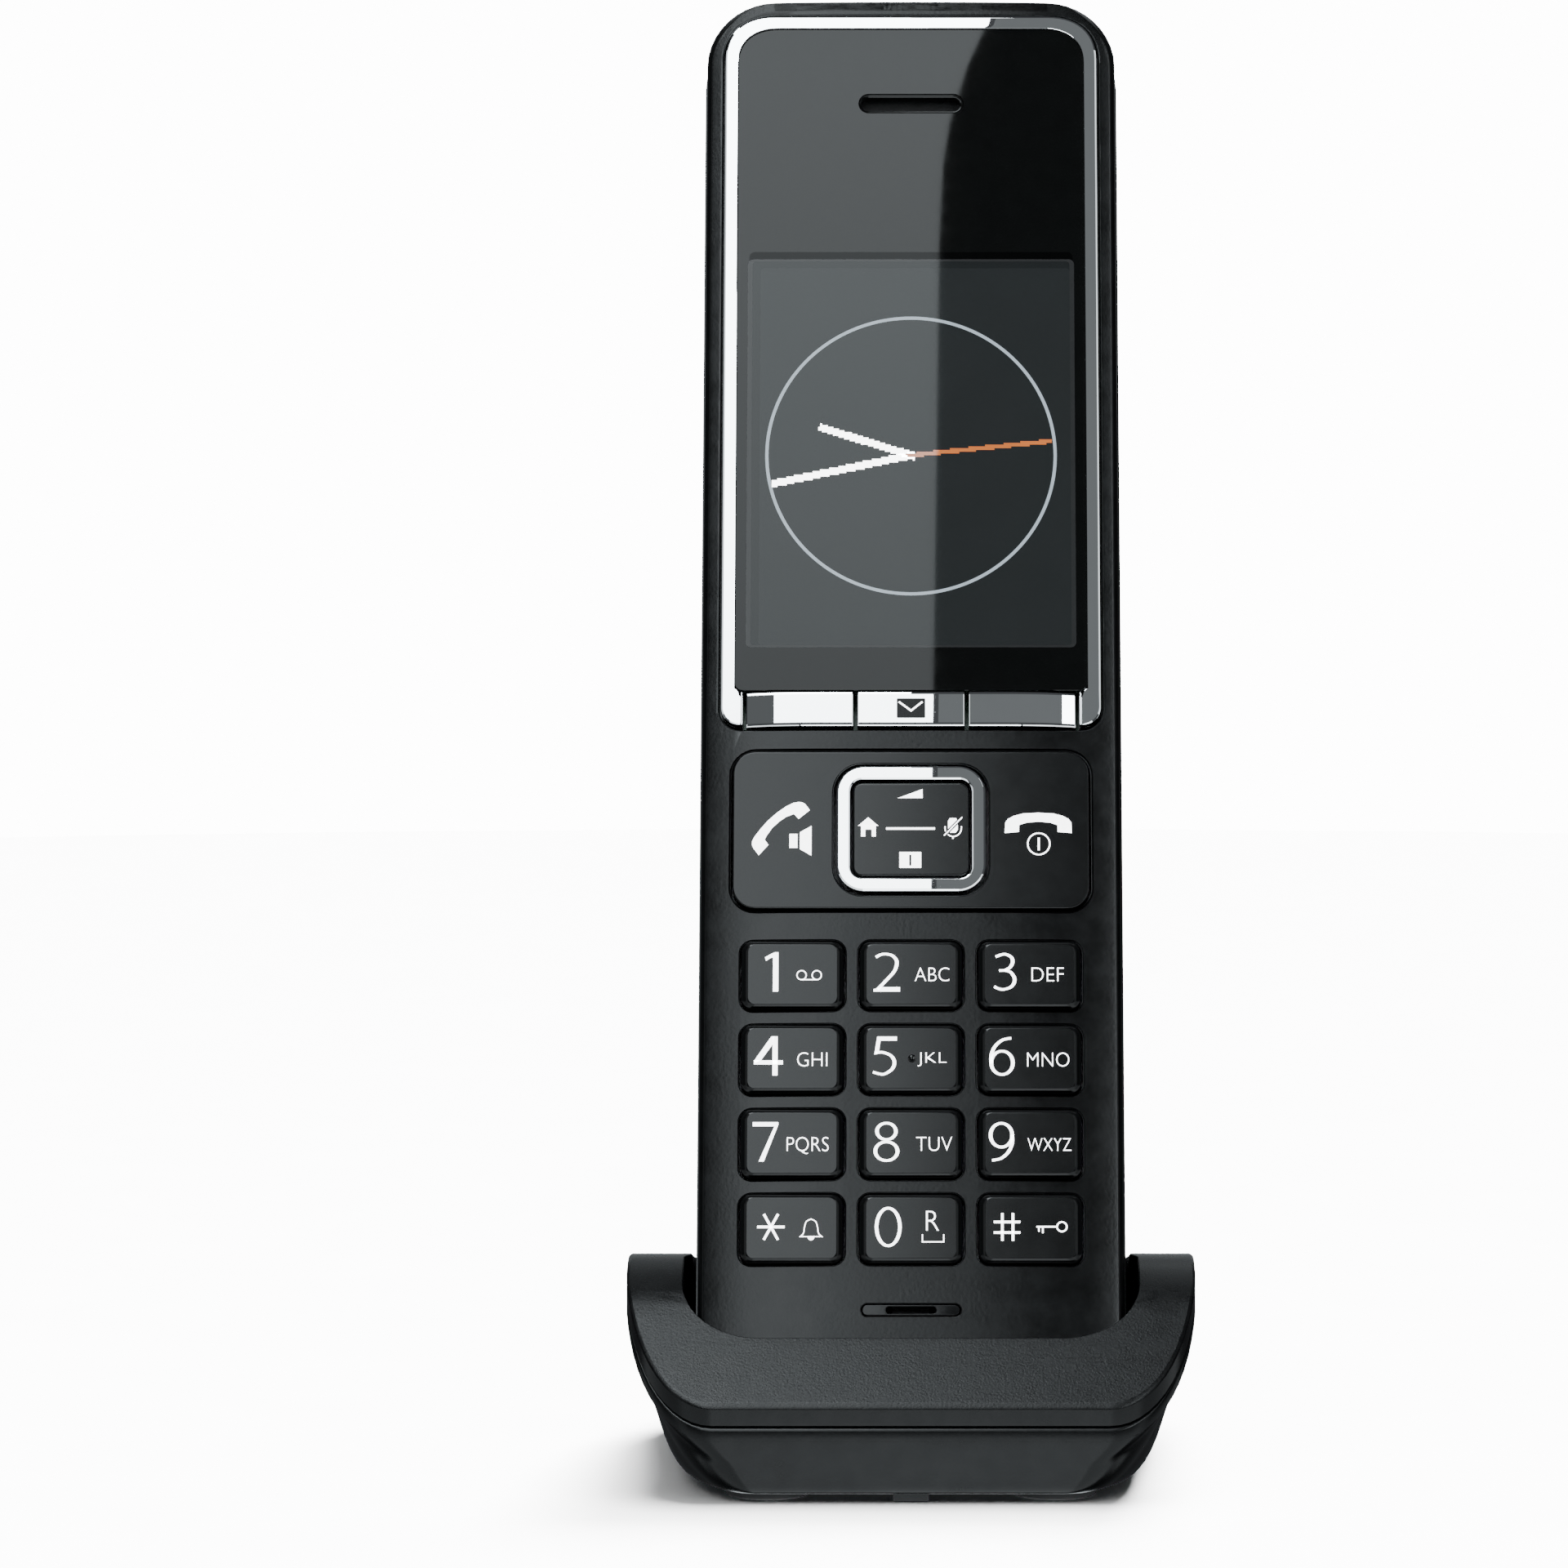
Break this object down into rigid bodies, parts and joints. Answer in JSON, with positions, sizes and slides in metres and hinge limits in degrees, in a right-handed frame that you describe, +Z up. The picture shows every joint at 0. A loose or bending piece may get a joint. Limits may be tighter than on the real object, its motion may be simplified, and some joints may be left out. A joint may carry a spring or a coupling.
{
  "type": "cordless phone with charging cradle",
  "caption": "Slim cordless handset with a colour display, navigation ring and keypad, standing tilted back in a small wedge-shaped charging cradle.",
  "frame": {"origin": "on the table, under the middle of the whole object's bounding box", "axes": "+Z up from the table, -Y out of the display towards the user, +X to the right of someone who faces the keypad; the handset leans back towards +Y"},
  "size_m": [0.0612, 0.0726, 0.1609],
  "materials": {
    "matte_black": "fine matte texture",
    "gloss_black": "polished",
    "key_black": "satin to glossy",
    "chrome": "bright plated",
    "lens_glass": "polished black lens with a clear window",
    "screen": "dark screen",
    "silicone": "matte",
    "circuit_board": "solder mask",
    "metal": "plain",
    "battery_sleeve": "printed sleeve",
    "rubber": "matte",
    "mesh_black": "fine mesh"
  },
  "bodies": {
    "cradle": {"cradle_bottom_shell": "gloss_black", "cradle_top_cover": "matte_black", "foot_front_left": "rubber", "foot_front_right": "rubber", "foot_rear_left": "rubber", "foot_rear_right": "rubber", "cradle_screw_left": "metal", "cradle_screw_right": "metal", "charge_board": "circuit_board", "power_socket": "gloss_black"},
    "handset": {"handset_front_shell": "matte_black", "handset_rear_shell": "matte_black", "display_frame": "chrome", "display_lens": "lens_glass", "display_module": "screen", "microphone_insert": "matte_black", "microphone": "metal", "earpiece_grille": "mesh_black", "earpiece_receiver": "metal", "main_board": "circuit_board", "keypad_mat": "silicone", "battery_cell_left": "battery_sleeve", "battery_cell_right": "battery_sleeve", "battery_spring_left": "metal", "battery_spring_right": "metal", "battery_plate_left": "metal", "battery_plate_right": "metal", "charge_contact_left": "metal", "charge_contact_right": "metal", "hands_free_speaker": "metal"},
    "battery_cover": {"battery_cover": "matte_black"},
    "call_end_rocker": {"call_end_rocker": "key_black"},
    "nav_actuator": {"nav_actuator": "silicone"},
    "nav_carrier": {"nav_carrier": "silicone"},
    "nav_ring": {"nav_ring": "chrome", "nav_pad": "key_black"},
    "charge_pin_left": {"charge_pin_left": "metal"},
    "charge_pin_right": {"charge_pin_right": "metal"},
    "key_1": {"key_1": "key_black"},
    "key_2": {"key_2": "key_black"},
    "key_3": {"key_3": "key_black"},
    "key_4": {"key_4": "key_black"},
    "key_5": {"key_5": "key_black"},
    "key_6": {"key_6": "key_black"},
    "key_7": {"key_7": "key_black"},
    "key_8": {"key_8": "key_black"},
    "key_9": {"key_9": "key_black"},
    "key_star": {"key_star": "key_black"},
    "key_0": {"key_0": "key_black"},
    "key_hash": {"key_hash": "key_black"},
    "soft_key_left": {"soft_key_left": "chrome"},
    "message_key": {"message_key": "chrome"},
    "soft_key_right": {"soft_key_right": "chrome"}
  },
  "joints": [
    {"name": "handset_lift", "type": "slide", "parent": "cradle", "child": "handset", "axis": [0, 0.3173, 0.9483], "range_m": [0, 0.06]},
    {"name": "key_1_press", "type": "slide", "parent": "handset", "child": "key_1", "axis": [0, 0.9483, -0.3173], "range_m": [0, 0.0004], "stiffness_N_per_m": 2500},
    {"name": "key_2_press", "type": "slide", "parent": "handset", "child": "key_2", "axis": [0, 0.9483, -0.3173], "range_m": [0, 0.0004], "stiffness_N_per_m": 2500},
    {"name": "key_3_press", "type": "slide", "parent": "handset", "child": "key_3", "axis": [0, 0.9483, -0.3173], "range_m": [0, 0.0004], "stiffness_N_per_m": 2500},
    {"name": "key_4_press", "type": "slide", "parent": "handset", "child": "key_4", "axis": [0, 0.9483, -0.3173], "range_m": [0, 0.0004], "stiffness_N_per_m": 2500},
    {"name": "key_5_press", "type": "slide", "parent": "handset", "child": "key_5", "axis": [0, 0.9483, -0.3173], "range_m": [0, 0.0004], "stiffness_N_per_m": 2500},
    {"name": "key_6_press", "type": "slide", "parent": "handset", "child": "key_6", "axis": [0, 0.9483, -0.3173], "range_m": [0, 0.0004], "stiffness_N_per_m": 2500},
    {"name": "key_7_press", "type": "slide", "parent": "handset", "child": "key_7", "axis": [0, 0.9483, -0.3173], "range_m": [0, 0.0004], "stiffness_N_per_m": 2500},
    {"name": "key_8_press", "type": "slide", "parent": "handset", "child": "key_8", "axis": [0, 0.9483, -0.3173], "range_m": [0, 0.0004], "stiffness_N_per_m": 2500},
    {"name": "key_9_press", "type": "slide", "parent": "handset", "child": "key_9", "axis": [0, 0.9483, -0.3173], "range_m": [0, 0.0004], "stiffness_N_per_m": 2500},
    {"name": "key_star_press", "type": "slide", "parent": "handset", "child": "key_star", "axis": [0, 0.9483, -0.3173], "range_m": [0, 0.0004], "stiffness_N_per_m": 2500},
    {"name": "key_0_press", "type": "slide", "parent": "handset", "child": "key_0", "axis": [0, 0.9483, -0.3173], "range_m": [0, 0.0004], "stiffness_N_per_m": 2500},
    {"name": "key_hash_press", "type": "slide", "parent": "handset", "child": "key_hash", "axis": [0, 0.9483, -0.3173], "range_m": [0, 0.0004], "stiffness_N_per_m": 2500},
    {"name": "soft_key_left_press", "type": "slide", "parent": "handset", "child": "soft_key_left", "axis": [0, 0.9483, -0.3173], "range_m": [0, 0.0004], "stiffness_N_per_m": 2500},
    {"name": "message_key_press", "type": "slide", "parent": "handset", "child": "message_key", "axis": [0, 0.9483, -0.3173], "range_m": [0, 0.0004], "stiffness_N_per_m": 2500},
    {"name": "soft_key_right_press", "type": "slide", "parent": "handset", "child": "soft_key_right", "axis": [0, 0.9483, -0.3173], "range_m": [0, 0.0004], "stiffness_N_per_m": 2500},
    {"name": "battery_cover_hinge", "type": "hinge", "parent": "handset", "child": "battery_cover", "pos_m": [0, 0.02717, 0.10663], "axis": [1, 0, 0], "range_deg": [0, 50]},
    {"name": "call_end_rock", "type": "hinge", "parent": "handset", "child": "call_end_rocker", "pos_m": [0, -0.00985, 0.06909], "axis": [0, 0.3173, 0.9483], "range_deg": [-1, 1], "stiffness_Nm_per_rad": 1.5},
    {"name": "nav_press", "type": "slide", "parent": "handset", "child": "nav_actuator", "axis": [0, 0.9483, -0.3173], "range_m": [0, 0.0003], "stiffness_N_per_m": 2500},
    {"name": "nav_tilt_up_down", "type": "hinge", "parent": "nav_actuator", "child": "nav_carrier", "pos_m": [0, -0.00928, 0.0689], "axis": [1, 0, 0], "range_deg": [-1.5, 1.5], "stiffness_Nm_per_rad": 1},
    {"name": "nav_tilt_left_right", "type": "hinge", "parent": "nav_carrier", "child": "nav_ring", "pos_m": [0, -0.01004, 0.06916], "axis": [0, 0.3173, 0.9483], "range_deg": [-1.5, 1.5], "stiffness_Nm_per_rad": 1},
    {"name": "charge_pin_left_press", "type": "slide", "parent": "cradle", "child": "charge_pin_left", "axis": [0, -0.3173, -0.9483], "range_m": [0, 0.0004], "stiffness_N_per_m": 300},
    {"name": "charge_pin_right_press", "type": "slide", "parent": "cradle", "child": "charge_pin_right", "axis": [0, -0.3173, -0.9483], "range_m": [0, 0.0004], "stiffness_N_per_m": 300}
  ]
}
